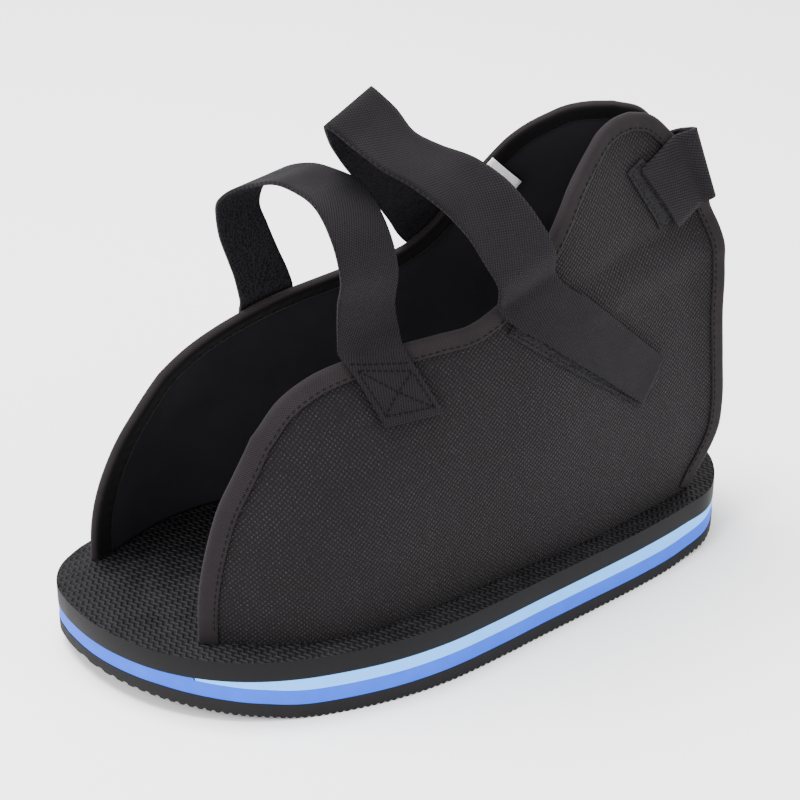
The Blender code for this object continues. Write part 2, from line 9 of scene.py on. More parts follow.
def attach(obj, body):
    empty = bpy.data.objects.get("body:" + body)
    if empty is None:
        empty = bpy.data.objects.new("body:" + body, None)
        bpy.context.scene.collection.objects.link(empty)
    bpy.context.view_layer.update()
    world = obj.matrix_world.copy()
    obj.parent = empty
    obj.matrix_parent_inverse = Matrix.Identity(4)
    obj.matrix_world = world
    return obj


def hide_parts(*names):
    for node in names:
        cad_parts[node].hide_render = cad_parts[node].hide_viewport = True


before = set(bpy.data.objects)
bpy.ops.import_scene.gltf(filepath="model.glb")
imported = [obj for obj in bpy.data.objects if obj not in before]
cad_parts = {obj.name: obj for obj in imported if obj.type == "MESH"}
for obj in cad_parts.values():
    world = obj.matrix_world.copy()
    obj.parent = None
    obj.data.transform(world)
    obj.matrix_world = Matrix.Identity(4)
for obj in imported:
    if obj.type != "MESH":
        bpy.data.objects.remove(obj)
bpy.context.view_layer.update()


# Camera: a long lens from the wearer's left, in front of the shoe and above it, as the shoe is shown.
camera_data = bpy.data.cameras.new("camera")
camera = bpy.data.objects.new("camera", camera_data)
bpy.context.scene.collection.objects.link(camera)
camera_back = Vector((0.3892, 0.7637, 0.5150)).normalized()
camera.location = Vector((0.00928, 0.00886, 0.1026)) + camera_back
camera.rotation_euler = camera_back.to_track_quat("Z", "Y").to_euler()
camera_data.sensor_width = 36.0
camera_data.lens = 109.3
bpy.context.scene.camera = camera


# Outsole: a sheet of matt black rubber under the whole sole, with a fine cross tread that shows as a
# serrated lower edge. It curves up at the toe and a little at the heel, and is glued to the foam above.
LENGTH = 0.300
BALL_WIDTH = 0.139
CUFF_HEIGHT = 0.2097
FOOTBED_TOP = 0.0295
FOOTBED_THICK = 0.0095
DARK_LAYER = 0.0070
WEDGE_START = 0.119
WEDGE_END = -0.1485
LAYER_GAP = 0.0001
TREAD_PITCH = 0.0029
TREAD_DEPTH = 0.0009
RIB_FACE = 0.45
RIB_FLANK = 0.35
SLICES_PER_RIB = 5
SLICES_TO = 0.1494
ROUNDING_STEPS = 4
SHARP_ANGLE = math.radians(35)
GRIT_SCALE = 2600.0
GRIT_DEPTH = 0.00012
STEPS_PER_SPAN = 40
TABLE_STEPS = 600
OUTLINE_STEPS = 170
# The sole's two edges, as shares of the length and of the ball width, from the heel's tip to the toe's.
LEFT_EDGE = (
    (-0.500, 0.000),
    (-0.481, 0.132),
    (-0.443, 0.226),
    (-0.387, 0.273),
    (-0.299, 0.328),
    (-0.206, 0.373),
    (-0.116, 0.414),
    (-0.029, 0.455),
    (0.054, 0.486),
    (0.129, 0.493),
    (0.207, 0.476),
    (0.279, 0.441),
    (0.345, 0.380),
    (0.392, 0.310),
    (0.429, 0.231),
    (0.462, 0.126),
    (0.485, 0.014),
    (0.498, -0.110),
    (0.500, -0.151),
)
RIGHT_EDGE = (
    (-0.500, 0.000),
    (-0.481, -0.132),
    (-0.443, -0.226),
    (-0.387, -0.273),
    (-0.300, -0.324),
    (-0.200, -0.374),
    (-0.100, -0.417),
    (0.000, -0.460),
    (0.100, -0.496),
    (0.200, -0.507),
    (0.287, -0.482),
    (0.373, -0.432),
    (0.445, -0.371),
    (0.479, -0.312),
    (0.499, -0.222),
    (0.500, -0.151),
)
# How high the underside is and how thick the tread, as shares of the length and of the cuff's height.
ROCKER = (
    (-0.500, 0.029),
    (-0.467, 0.019),
    (-0.437, 0.012),
    (-0.407, 0.006),
    (-0.377, 0.002),
    (-0.347, 0.000),
    (0.227, 0.000),
    (0.260, 0.001),
    (0.287, 0.004),
    (0.313, 0.009),
    (0.340, 0.013),
    (0.367, 0.018),
    (0.400, 0.024),
    (0.437, 0.030),
    (0.467, 0.033),
    (0.500, 0.036),
)
TREAD_STACK = (
    (-0.500, 0.027),
    (-0.367, 0.027),
    (-0.223, 0.030),
    (0.000, 0.031),
    (0.300, 0.032),
    (0.400, 0.032),
    (0.447, 0.031),
    (0.500, 0.026),
)


def smooth_line(table, sizes, count, ends=None):
    """Points of a smooth curve through a table of shares, evenly spaced along it."""
    points = np.array(table, float) * np.array(sizes)
    chord = np.linalg.norm(np.diff(points, axis=0), axis=1)
    knots = np.concatenate([[0.0], np.cumsum(chord)])
    slopes = np.gradient(points, knots, axis=0)
    if ends is not None:
        slopes[0], slopes[-1] = ends
    dense = np.linspace(0.0, knots[-1], STEPS_PER_SPAN * len(points))
    k = np.clip(np.searchsorted(knots, dense, side="right") - 1, 0, len(points) - 2)
    h = (knots[k + 1] - knots[k])[:, None]
    t = (dense - knots[k])[:, None] / h
    curve = (2 * t**3 - 3 * t**2 + 1) * points[k] + (t**3 - 2 * t**2 + t) * h * slopes[k]
    curve += (3 * t**2 - 2 * t**3) * points[k + 1] + (t**3 - t**2) * h * slopes[k + 1]
    walked = np.concatenate([[0.0], np.cumsum(np.linalg.norm(np.diff(curve, axis=0), axis=1))])
    even = np.linspace(0.0, walked[-1], count)
    return np.stack([np.interp(even, walked, curve[:, c]) for c in range(curve.shape[1])], axis=1)


def read_table(table, sizes, x):
    """The height that a table gives at each distance along the shoe."""
    line = smooth_line(table, sizes, TABLE_STEPS)
    order = np.argsort(line[:, 0])
    return np.interp(x, line[order, 0], line[order, 1])


def sole_outline(inset):
    """The closed outline of the sole, moved in by an inset, from the heel round the left side."""
    sides = []
    for hand, table in ((1, LEFT_EDGE), (-1, RIGHT_EDGE)):
        square_ends = np.array([[0.0, hand], [0.0, -hand]])
        line = smooth_line(table, (LENGTH, BALL_WIDTH), OUTLINE_STEPS, ends=square_ends)
        run = np.gradient(line, axis=0)
        run /= np.linalg.norm(run, axis=1)[:, None]
        sides.append(line + inset * hand * np.stack([run[:, 1], -run[:, 0]], axis=1))
    return np.concatenate([sides[0], sides[1][::-1][1:-1]])


def rocker(x):
    return np.maximum(read_table(ROCKER, (LENGTH, CUFF_HEIGHT), x), 0.0)


def tread_top(x):
    thick = read_table(TREAD_STACK, (LENGTH, CUFF_HEIGHT), x)
    return np.minimum(rocker(x) + thick, FOOTBED_TOP - FOOTBED_THICK - DARK_LAYER - 2 * LAYER_GAP)


def dark_top(x):
    under = FOOTBED_TOP - FOOTBED_THICK - LAYER_GAP
    return np.where(x > WEDGE_START, under, np.minimum(tread_top(x) + LAYER_GAP + DARK_LAYER, under))


def add_piece(name, mesh, *finishes):
    """A piece of the shoe from its mesh and finishes, carried by the shoe's one body."""
    for finish in finishes:
        mesh.materials.append(finish)
    piece = bpy.data.objects.new(name, mesh)
    bpy.context.scene.collection.objects.link(piece)
    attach(piece, "root")
    return piece


def sole_layer(name, top, bottom, inset, slices, rounding, finish, ends=()):
    """A slab with the sole's outline, sliced across so that its two faces can follow a height."""
    half_way = 0.5  # the slab is one unit high until its faces are moved to their heights
    bm = bmesh.new()
    ring = [bm.verts.new((x, y, 0.0)) for x, y in sole_outline(inset)]
    bmesh.ops.contextual_create(bm, geom=ring)
    lifted = bmesh.ops.extrude_face_region(bm, geom=bm.faces[:])
    upper_face = [v for v in lifted["geom"] if isinstance(v, bmesh.types.BMVert)]
    bmesh.ops.translate(bm, verts=upper_face, vec=(0, 0, 1))
    for cut, side in ends:
        whole = bm.verts[:] + bm.edges[:] + bm.faces[:]
        bmesh.ops.bisect_plane(bm, geom=whole, plane_co=(cut, 0, 0), plane_no=(side, 0, 0), clear_outer=True)
        rim = [e for e in bm.edges if e.is_boundary]
        bmesh.ops.contextual_create(bm, geom=rim)
    for x in slices:
        whole = bm.verts[:] + bm.edges[:] + bm.faces[:]
        bmesh.ops.bisect_plane(bm, geom=whole, plane_co=(x, 0, 0), plane_no=(1, 0, 0))
    bmesh.ops.recalc_face_normals(bm, faces=bm.faces[:])
    xs = np.array([v.co.x for v in bm.verts])
    high, low = top(xs), bottom(xs)
    level = [e for e in bm.edges if abs(e.verts[0].co.z - e.verts[1].co.z) < half_way]
    paired = [e for e in level if len(e.link_faces) == 2]
    rims = [e for e in paired if sum(abs(f.normal.z) > half_way for f in e.link_faces) == 1]
    upper_rims = [e for e in rims if e.verts[0].co.z > half_way]
    lower_rims = [e for e in rims if e.verts[0].co.z <= half_way]
    for v, height_above, height_below in zip(bm.verts, high, low):
        v.co.z = height_above if v.co.z > half_way else height_below
    for edges, width in ((upper_rims, rounding[0]), (lower_rims, rounding[1])):
        if width:
            bmesh.ops.bevel(bm, geom=edges, offset=width, offset_type="OFFSET", affect="EDGES",
                            segments=ROUNDING_STEPS, profile=0.5, material=-1, clamp_overlap=True)
    mesh = bpy.data.meshes.new(name)
    bm.to_mesh(mesh)
    bm.free()
    for polygon in mesh.polygons:
        polygon.use_smooth = True
    mesh.set_sharp_from_angle(angle=SHARP_ANGLE)
    return add_piece(name, mesh, finish)


def finish_base(name, colour, roughness):
    """A new procedural finish with its Principled shader and object coordinates."""
    finish = bpy.data.materials.new(name)
    finish.use_nodes = True
    nodes, links = finish.node_tree.nodes, finish.node_tree.links
    shader = nodes["Principled BSDF"]
    shader.inputs["Base Color"].default_value = (*colour, 1.0)
    shader.inputs["Roughness"].default_value = roughness
    shader.inputs["Specular IOR Level"].default_value = 0.15
    where = nodes.new("ShaderNodeTexCoord")
    return finish, nodes, links, shader, where.outputs["Object"]


def node_noise(nodes, links, where, scale, detail=2.0, rough=0.5):
    noise = nodes.new("ShaderNodeTexNoise")
    noise.inputs["Scale"].default_value = scale
    noise.inputs["Detail"].default_value = detail
    noise.inputs["Roughness"].default_value = rough
    links.new(where, noise.inputs["Vector"])
    return noise.outputs["Fac"]


def node_math(nodes, links, operation, *values):
    made = nodes.new("ShaderNodeMath")
    made.operation = operation
    for socket, value in zip(made.inputs, values):
        if isinstance(value, (int, float)):
            socket.default_value = value
        else:
            links.new(value, socket)
    return made.outputs[0]


def node_colours(nodes, links, shader, factor, *stops):
    """A colour ramp from (place, colour) stops, read at the factor, as the shader's base colour."""
    ramp = nodes.new("ShaderNodeValToRGB")
    while len(ramp.color_ramp.elements) < len(stops):
        ramp.color_ramp.elements.new(0.5)
    for element, (place, colour) in zip(ramp.color_ramp.elements, stops):
        element.position = place
        element.color = (*colour, 1.0)
    links.new(factor, ramp.inputs["Fac"])
    links.new(ramp.outputs["Color"], shader.inputs["Base Color"])


def node_bump(nodes, links, shader, height, distance, strength=1.0):
    bump = nodes.new("ShaderNodeBump")
    bump.inputs["Strength"].default_value = strength
    bump.inputs["Distance"].default_value = distance
    links.new(height, bump.inputs["Height"])
    links.new(bump.outputs["Normal"], shader.inputs["Normal"])


def node_range(nodes, links, value, low, high, out_low, out_high):
    made = nodes.new("ShaderNodeMapRange")
    for socket, number in zip(made.inputs[1:5], (low, high, out_low, out_high)):
        socket.default_value = number
    links.new(value, made.inputs[0])
    return made.outputs[0]


rubber, nodes, links, shader, where = finish_base("outsole_rubber", (0.006, 0.0057, 0.0063), 0.72)
grit = node_noise(nodes, links, where, GRIT_SCALE, 3.0)
smear = node_noise(nodes, links, where, 70.0, 4.0)
node_colours(nodes, links, shader, smear, (0.3, (0.0045, 0.0042, 0.0047)), (0.7, (0.0085, 0.0080, 0.0088)))
links.new(node_range(nodes, links, smear, 0.3, 0.7, 0.66, 0.8), shader.inputs["Roughness"])
node_bump(nodes, links, shader, grit, GRIT_DEPTH)


def tread_bottom(x):
    wave = np.abs(((x / TREAD_PITCH) % 1.0) * 2.0 - 1.0)
    return rocker(x) + TREAD_DEPTH * np.clip((wave - RIB_FACE) / RIB_FLANK, 0.0, 1.0)


tread_slices = np.arange(-SLICES_TO, SLICES_TO, TREAD_PITCH / SLICES_PER_RIB)
outsole = sole_layer("outsole_tread", tread_top, tread_bottom, 0.0, tread_slices, (0.0, 0.0), rubber)
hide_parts("outsole")


# Midsole: a sheet of mid blue foam along the whole sole, with a wedge of pale blue foam on it from the
# ball of the foot to the heel. Both are cut flush, so their edges show as two smooth stripes.
FOAM_INSET = 0.0002
FOAM_SLICE = 0.004
STEP_WIDTH = 0.0002
WEDGE_CUT = 0.0006
CELL_SCALE = 1700.0
CELL_DEPTH = 0.00010


def foam_finish(name, dark, light, roughness):
    finish, nodes, links, shader, where = finish_base(name, dark, roughness)
    cloud = node_noise(nodes, links, where, 90.0, 4.0, 0.6)
    cells = nodes.new("ShaderNodeTexVoronoi")
    cells.inputs["Scale"].default_value = CELL_SCALE
    links.new(where, cells.inputs["Vector"])
    node_colours(nodes, links, shader, cloud, (0.3, dark), (0.72, light))
    node_bump(nodes, links, shader, cells.outputs["Distance"], CELL_DEPTH, 0.6)
    return finish


foam_dark = foam_finish("midsole_dark", (0.014, 0.085, 0.600), (0.020, 0.100, 0.650), 0.62)
foam_light = foam_finish("midsole_light", (0.115, 0.415, 1.000), (0.140, 0.455, 1.000), 0.62)
foam_slices = np.arange(-0.148, 0.1485, FOAM_SLICE)
sheet_slices = np.append(foam_slices, [WEDGE_START + STEP_WIDTH, WEDGE_START - STEP_WIDTH])


def sheet_bottom(x):
    return tread_top(x) + LAYER_GAP


def wedge_top(x):
    return np.full(x.shape, FOOTBED_TOP - FOOTBED_THICK - LAYER_GAP)


def wedge_bottom(x):
    return dark_top(x) + LAYER_GAP


midsole = sole_layer("midsole_sheet", dark_top, sheet_bottom, FOAM_INSET, sheet_slices, (0.0, 0.0), foam_dark)
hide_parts("midsole_lower")
wedge_slices = foam_slices[foam_slices < WEDGE_START - FOAM_SLICE / 2]
wedge = sole_layer("midsole_wedge_foam", wedge_top, wedge_bottom, FOAM_INSET, wedge_slices, (0.0, 0.0),
                   foam_light, ends=((WEDGE_START - WEDGE_CUT, 1), (WEDGE_END, -1)))
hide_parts("midsole_wedge")


# Footbed: a thick sheet of black foam with a rounded upper edge. Its top is embossed with fine wavy
# ridges across the foot, and its side is smooth. The upper stands in it, a little in from the edge.
EMBOSS_PITCH = 0.0026
EMBOSS_WAVE = 0.0040
EMBOSS_SWING = 0.00055
EMBOSS_LEAN = 0.12
EMBOSS_DEPTH = 0.00036
TOP_ROUNDING = 0.0023
LOW_ROUNDING = 0.0004


def node_wave(nodes, links, value, pitch):
    """Even ridges and troughs along a distance."""
    turns = node_math(nodes, links, "MULTIPLY", value, 2 * math.pi / pitch)
    return node_math(nodes, links, "SINE", turns)


def node_plus(nodes, links, value, other, share):
    """A value with a share of another one added."""
    return node_math(nodes, links, "ADD", value, node_math(nodes, links, "MULTIPLY", other, share))


footbed_foam, nodes, links, shader, where = finish_base("footbed_foam", (0.006, 0.0056, 0.0063), 0.60)
shader.inputs["Specular IOR Level"].default_value = 0.14
split = nodes.new("ShaderNodeSeparateXYZ")
links.new(where, split.inputs[0])
swing = node_wave(nodes, links, split.outputs["Y"], EMBOSS_WAVE)
row = node_plus(nodes, links, split.outputs["X"], split.outputs["Y"], EMBOSS_LEAN)
ridge = node_wave(nodes, links, node_plus(nodes, links, row, swing, EMBOSS_SWING), EMBOSS_PITCH)
face = nodes.new("ShaderNodeNewGeometry")
turn = nodes.new("ShaderNodeSeparateXYZ")
links.new(face.outputs["Normal"], turn.inputs[0])
flat = node_range(nodes, links, turn.outputs["Z"], 0.97, 0.995, 0.0, 1.0)
grain = node_noise(nodes, links, where, 1500.0, 3.0)
embossed = node_math(nodes, links, "MULTIPLY", ridge, flat)
height = node_plus(nodes, links, embossed, grain, 0.25)
wear = node_noise(nodes, links, where, 120.0, 4.0)
# Painted shade: faces that turn away from straight up, the footbed's side and rounded edge, get a darker
# colour than its top.
painted_side_shade = node_range(nodes, links, turn.outputs["Z"], 0.3, 0.9, 0.25, 1.0)
tone = node_math(nodes, links, "MULTIPLY", node_plus(nodes, links, wear, embossed, 0.25), painted_side_shade)
node_colours(nodes, links, shader, tone, (0.25, (0.0014, 0.0012, 0.0017)), (0.85, (0.0110, 0.0100, 0.0118)))
node_bump(nodes, links, shader, height, EMBOSS_DEPTH)


def footbed_top(x):
    return np.full(x.shape, FOOTBED_TOP)


def footbed_bottom(x):
    return np.full(x.shape, FOOTBED_TOP - FOOTBED_THICK)


footbed = sole_layer("footbed_sheet", footbed_top, footbed_bottom, 0.0, foam_slices,
                     (TOP_ROUNDING, LOW_ROUNDING), footbed_foam)
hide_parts("footbed")


# Upper: two wings of coarse black canvas with a smooth black lining, stiff enough to stand by
# themselves. They rise from the footbed, lean in over the foot and leave the toe, throat and heel open.
WALL = 0.0026
LEAN_POWER = 2.2
LEAN_REACH = 0.115
TOE_LEAD = 0.0185
TOE_SHIFT = -0.0046
SHIFT_FROM = -0.015
SHIFT_OVER = 0.135
FOLDS_FROM = -0.050
FOLDS_OVER = 0.03
FOLD_DEPTH = 0.0015
TROUGH_HEIGHT = 0.150
TROUGH_FALL = 0.10
TROUGH_WIDTH = 0.0055
CREST_HEIGHT = 0.137
CREST_FALL = 0.06
CREST_WIDTH = 0.006
CREST_SHARE = 0.8
SLOW_DEPTH = 0.0004
WING_GRID = (150, 64)
WING_CLOTH = (0.25, 0.16)
# Where the left wing stands on the footbed and how far it leans in, as shares of length and ball width.
PANEL_FOOT = (
    (-0.483, 0.165),
    (-0.417, 0.186),
    (-0.376, 0.211),
    (-0.315, 0.243),
    (-0.224, 0.292),
    (-0.146, 0.322),
    (-0.083, 0.342),
    (-0.022, 0.363),
    (0.041, 0.386),
    (0.101, 0.404),
    (0.157, 0.409),
    (0.208, 0.402),
    (0.256, 0.376),
    (0.299, 0.332),
    (0.339, 0.279),
    (0.377, 0.238),
    (0.407, 0.209),
)
PANEL_LEAN = (
    (-0.483, 0.061),
    (-0.323, 0.070),
    (-0.267, 0.063),
    (-0.213, 0.054),
    (-0.160, 0.050),
    (-0.113, 0.059),
    (-0.067, 0.081),
    (-0.027, 0.102),
    (0.017, 0.132),
    (0.067, 0.169),
    (0.110, 0.199),
    (0.150, 0.227),
    (0.190, 0.256),
    (0.237, 0.281),
    (0.283, 0.291),
    (0.313, 0.302),
    (0.337, 0.288),
    (0.383, 0.273),
)
# The wing's free edge, as shares of the length and of the cuff's height, from the front foot to the rear.
FRONT_RIM = (
    (0.371, 0.141),
    (0.370, 0.205),
    (0.362, 0.287),
    (0.349, 0.355),
    (0.332, 0.418),
    (0.307, 0.480),
    (0.278, 0.547),
)
TOP_RIM = (
    (0.278, 0.547),
    (0.235, 0.607),
    (0.190, 0.642),
    (0.149, 0.660),
    (0.069, 0.676),
    (0.016, 0.684),
    (-0.029, 0.690),
    (-0.078, 0.723),
    (-0.120, 0.775),
    (-0.158, 0.837),
    (-0.180, 0.879),
    (-0.199, 0.914),
    (-0.221, 0.943),
    (-0.242, 0.964),
    (-0.264, 0.983),
    (-0.291, 0.992),
    (-0.323, 0.991),
)
REAR_RIM = (
    (-0.323, 0.991),
    (-0.359, 0.972),
    (-0.389, 0.930),
    (-0.419, 0.869),
    (-0.448, 0.780),
    (-0.468, 0.695),
    (-0.472, 0.630),
    (-0.468, 0.530),
    (-0.469, 0.428),
    (-0.471, 0.325),
    (-0.467, 0.270),
    (-0.447, 0.210),
    (-0.428, 0.172),
    (-0.414, 0.141),
)
PANEL_STEPS = 900
FOOT_LINE = smooth_line(PANEL_FOOT, (LENGTH, BALL_WIDTH), PANEL_STEPS)
LEAN_LINE = smooth_line(PANEL_LEAN, (LENGTH, BALL_WIDTH), PANEL_STEPS)


def wing_side(x, z):
    """How far out the left wing's outer face is, at a distance along and a height."""
    rise = np.maximum(z - FOOTBED_TOP, 0.0) / LEAN_REACH
    foot = np.interp(x, FOOT_LINE[:, 0], FOOT_LINE[:, 1])
    return foot - np.interp(x, LEAN_LINE[:, 0], LEAN_LINE[:, 1]) * rise**LEAN_POWER


def wing_folds(x, z):
    """Soft troughs that the closed ankle strap pulls into the wing, and the canvas's own unevenness."""
    behind = np.clip((FOLDS_FROM - x) / FOLDS_OVER, 0.0, 1.0)
    trough = np.exp(-(((z - TROUGH_HEIGHT + TROUGH_FALL * (x - FOLDS_FROM)) / TROUGH_WIDTH) ** 2))
    crest = np.exp(-(((z - CREST_HEIGHT + CREST_FALL * (x - FOLDS_FROM)) / CREST_WIDTH) ** 2))
    slow = np.sin(x * 70.0 + 1.0) * np.sin(z * 55.0 + 0.4)
    return -FOLD_DEPTH * behind * (trough - CREST_SHARE * crest) + SLOW_DEPTH * slow


def wing_point(x, z, lift):
    """A point a lift out from the left wing's outer face, folds and all."""
    step = 0.0006
    y = wing_side(x, z)
    slope_x = (wing_side(x + step, z) - wing_side(x - step, z)) / (2 * step)
    slope_z = (wing_side(x, z + step) - wing_side(x, z - step)) / (2 * step)
    slope_z = np.where(z > FOOTBED_TOP + step, slope_z, 0.0)
    normal = np.stack([-slope_x, np.ones_like(x), -slope_z], axis=-1)
    normal /= np.linalg.norm(normal, axis=-1)[..., None]
    lift = lift + wing_folds(x, z)
    return np.stack([x, y, z], axis=-1) + np.asarray(lift)[..., None] * normal


def mirrored(points):
    """The same place on the right wing, whose front stands further forward and inwards."""
    x, y, z = np.moveaxis(np.asarray(points, float), -1, 0)
    share = np.clip((x - SHIFT_FROM) / SHIFT_OVER, 0.0, 1.0)
    return np.stack([x + TOE_LEAD * share, -y + 2 * TOE_SHIFT * share, z], axis=-1)


def unshifted(x):
    """The distance along the left wing that the right wing's mirroring moves to x."""
    share = np.clip((x - SHIFT_FROM) / (SHIFT_OVER + TOE_LEAD), 0.0, 1.0)
    return x - TOE_LEAD * share


def on_wing(x, z, lift, hand):
    """A point on either wing: hand is 1 for the left and -1 for the right."""
    if hand > 0:
        return wing_point(x, z, lift)
    return mirrored(wing_point(unshifted(x), z, lift))


SIDE_SIZES = (LENGTH, CUFF_HEIGHT)
RIM_STEPS = 400
front_rim, top_rim, rear_rim = [smooth_line(t, SIDE_SIZES, RIM_STEPS) for t in (FRONT_RIM, TOP_RIM, REAR_RIM)]


def wing_place(u, v):
    """Along and up of a place on the wing: u from rear to front, v from foot to top."""
    def along(line, share):
        even = np.linspace(0.0, 1.0, len(line))
        return np.stack([np.interp(share, even, line[:, c]) for c in (0, 1)], axis=-1)

    front, top, rear = along(front_rim, v), along(top_rim[::-1], u), along(rear_rim[::-1], v)
    foot_ends = np.array([rear_rim[-1], front_rim[0]])
    foot = (1 - u)[..., None] * foot_ends[0] + u[..., None] * foot_ends[1]
    a, b = u[..., None], v[..., None]
    corners = (1 - a) * (1 - b) * foot_ends[0] + a * (1 - b) * foot_ends[1]
    corners = corners + (1 - a) * b * rear_rim[0] + a * b * front_rim[-1]
    return (1 - b) * foot + b * top + (1 - a) * rear + a * front - corners


def grid_sheet(name, along, across, place, thick, uv_size, *finishes):
    """A sheet from a grid whose points are placed by a function of its two shares, given a thickness."""
    bm = bmesh.new()
    bmesh.ops.create_grid(bm, x_segments=along, y_segments=across, size=0.5)
    uv_layer = bm.loops.layers.uv.new("cloth")
    for f in bm.faces:
        for loop in f.loops:
            u, v = loop.vert.co.x + 0.5, loop.vert.co.y + 0.5
            loop[uv_layer].uv = (u * uv_size[0], v * uv_size[1])
    shares = np.array([(v.co.x + 0.5, v.co.y + 0.5) for v in bm.verts])
    for v, point in zip(bm.verts, place(shares[:, 0], shares[:, 1])):
        v.co = point
    mesh = bpy.data.meshes.new(name)
    bm.to_mesh(mesh)
    bm.free()
    for polygon in mesh.polygons:
        polygon.use_smooth = True
    piece = add_piece(name, mesh, *finishes)
    wall = piece.modifiers.new("wall", "SOLIDIFY")
    wall.thickness = thick
    wall.offset = 0.0
    wall.use_even_offset = True
    if len(finishes) > 1:
        wall.material_offset = 1
    return piece


canvas, nodes, links, shader, where = finish_base("upper_canvas", (0.007, 0.006, 0.0065), 0.82)
shader.inputs["Sheen Weight"].default_value = 0.04
shader.inputs["Sheen Roughness"].default_value = 0.5
CANVAS_PITCH = 0.0021
YARN_WANDER = 0.0008
KNOT_DEPTH = 0.00045
NAP_SCALE = 900.0
NAP_DEPTH = 0.00015
warp = nodes.new("ShaderNodeTexNoise")
warp.inputs["Scale"].default_value = 260.0
links.new(where, warp.inputs["Vector"])
wobble = nodes.new("ShaderNodeVectorMath")
wobble.operation = "MULTIPLY_ADD"
wobble.inputs[1].default_value = (YARN_WANDER, YARN_WANDER, YARN_WANDER)
links.new(warp.outputs["Color"], wobble.inputs[0])
links.new(where, wobble.inputs[2])
split = nodes.new("ShaderNodeSeparateXYZ")
links.new(wobble.outputs[0], split.inputs[0])
lying_yarn = node_wave(nodes, links, split.outputs["X"], CANVAS_PITCH)
standing_yarn = node_wave(nodes, links, split.outputs["Z"], CANVAS_PITCH)
knots = node_math(nodes, links, "MULTIPLY", lying_yarn, standing_yarn)
raised = node_range(nodes, links, knots, -0.2, 1.0, 0.0, 1.0)
fibres = node_noise(nodes, links, where, 1800.0, 3.0, 0.65)
mottle = node_noise(nodes, links, where, 55.0, 5.0, 0.6)
uneven = node_range(nodes, links, fibres, 0.32, 0.68, 0.05, 1.1)
tone = node_plus(nodes, links, node_math(nodes, links, "MULTIPLY", raised, uneven), mottle, 0.25)
node_colours(nodes, links, shader, tone, (0.10, (0.0016, 0.0011, 0.0016)), (0.5, (0.0050, 0.0034, 0.0044)),
             (1.0, (0.033, 0.024, 0.030)))
node_bump(nodes, links, shader, node_plus(nodes, links, raised, fibres, 0.4), KNOT_DEPTH)

lining, nodes, links, shader, where = finish_base("upper_lining", (0.0020, 0.0018, 0.0026), 0.88)
shader.inputs["Specular IOR Level"].default_value = 0.06
nap = node_noise(nodes, links, where, NAP_SCALE, 4.0, 0.6)
rubbed = node_noise(nodes, links, where, 40.0, 3.0)
node_colours(nodes, links, shader, rubbed, (0.3, (0.0135, 0.0126, 0.0158)), (0.7, (0.0175, 0.0163, 0.0200)))
node_bump(nodes, links, shader, nap, NAP_DEPTH)


def left_wing(u, v):
    place = wing_place(1 - u, v)
    return wing_point(place[:, 0], place[:, 1], -WALL / 2)


def right_wing(u, v):
    return mirrored(left_wing(1 - u, v))


for name, place in (("upper_left_wing", left_wing), ("upper_right_wing", right_wing)):
    wing = grid_sheet(name, *WING_GRID, place, WALL, WING_CLOTH, canvas, lining)
    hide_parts("upper")


# Binding: a flat woven tape folded over the free edge of each wing, from the footbed up over the top and
# down to the footbed again. A row of stitches a little in from its border holds both arms.
TAPE_WIDTH = 0.0057
TAPE_THICK = 0.0006
TAPE_OFF = 0.0004
TAPE_IN = 0.0007
RIM_START = FOOTBED_TOP + 0.0004
TAPE_GRID = (420, 22)
TAPE_FLAT = 0.0177
# Where the painted shade on the tape's inner arm begins, along the folded tape.
TAPE_PAINTED_SHADE_FROM = 0.0098
SEAM_IN = 0.0012
SEAM_PROUD = 0.00005
SEAM_PITCH = 0.0030
SEAM_STITCH = 0.0022
SEAM_THREAD = 0.00028
SEAM_STEPS = 700
SEAM_FROM = 0.012
NORMAL_STEP = 0.001
PUCKER = 0.00012
PUCKER_IN = 0.0022
PUCKER_OVER = 0.0016
PUCKER_TURNS = 900.0


def thread_row(name, points, normals, pitch, length, radius, finish):
    """Small rounded stitches one after another along a line on a surface."""
    half_step = 0.0003
    flatness = 0.8
    points, normals = np.asarray(points), np.asarray(normals)
    walked = np.concatenate([[0.0], np.cumsum(np.linalg.norm(np.diff(points, axis=0), axis=1))])
    bm = bmesh.new()
    for at in np.arange(pitch / 2, walked[-1], pitch):
        here = np.array([np.interp(at - half_step, walked, points[:, c]) for c in range(3)])
        ahead = np.array([np.interp(at + half_step, walked, points[:, c]) for c in range(3)])
        normal = Vector([np.interp(at, walked, normals[:, c]) for c in range(3)]).normalized()
        run = Vector(ahead - here).normalized()
        side = normal.cross(run).normalized()
        turn = Matrix((run, side, normal)).transposed().to_4x4()
        size = Matrix.Diagonal((length / 2, radius, radius * flatness, 1.0))
        bmesh.ops.create_uvsphere(bm, u_segments=6, v_segments=5, radius=1.0,
                                  matrix=Matrix.Translation(Vector((here + ahead) / 2)) @ turn @ size)
    mesh = bpy.data.meshes.new(name)
    bm.to_mesh(mesh)
    bm.free()
    for polygon in mesh.polygons:
        polygon.use_smooth = True
    row = add_piece(name, mesh, finish)
    return row


